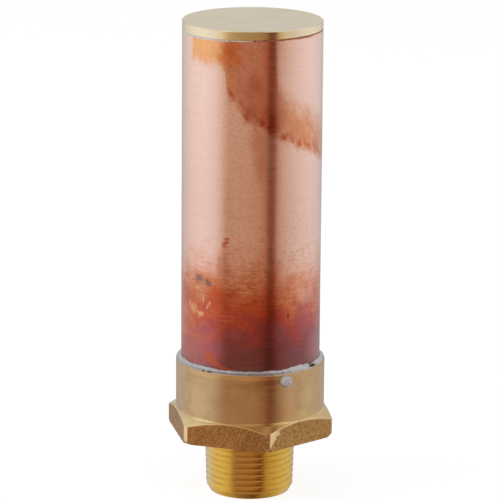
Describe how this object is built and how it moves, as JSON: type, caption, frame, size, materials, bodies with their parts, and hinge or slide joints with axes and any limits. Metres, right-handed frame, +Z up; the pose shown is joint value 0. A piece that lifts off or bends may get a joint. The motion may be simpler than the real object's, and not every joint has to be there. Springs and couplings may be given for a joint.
{
  "type": "water hammer arrestor",
  "caption": "Piston water hammer arrestor: copper barrel soldered into a brass hex adapter with a tapered male thread, closed by a brass end cap over a gas cushion.",
  "frame": {"origin": "centre of the nipple's end face, at the bottom of the part as it stands", "axes": "+Z up the barrel's axis towards the end cap; +X through a corner of the hex; -Y out of a flat of the hex"},
  "size_m": [0.051, 0.0448, 0.1427],
  "materials": {
    "adapter_brass": "turned brass, dulled by soldering heat",
    "barrel_copper": "drawn copper with heat tint and stains",
    "cap_brass": "faced brass, satin",
    "solder": "frozen tin solder, dull",
    "piston_acetal": "turned acetal",
    "seal_rubber": "greased rubber"
  },
  "bodies": {
    "casing": {"hex_adapter": "adapter_brass", "barrel_tube": "barrel_copper", "end_cap": "cap_brass", "collar_solder": "solder", "solder_drip": "solder", "cap_solder": "solder"},
    "piston": {"piston": "piston_acetal", "upper_o_ring": "seal_rubber", "lower_o_ring": "seal_rubber"}
  },
  "joints": [
    {"name": "piston_slide", "type": "slide", "parent": "casing", "child": "piston", "axis": [0, 0, 1], "range_m": [0, 0.07], "stiffness_N_per_m": 1000, "springref_m": -0.01}
  ]
}
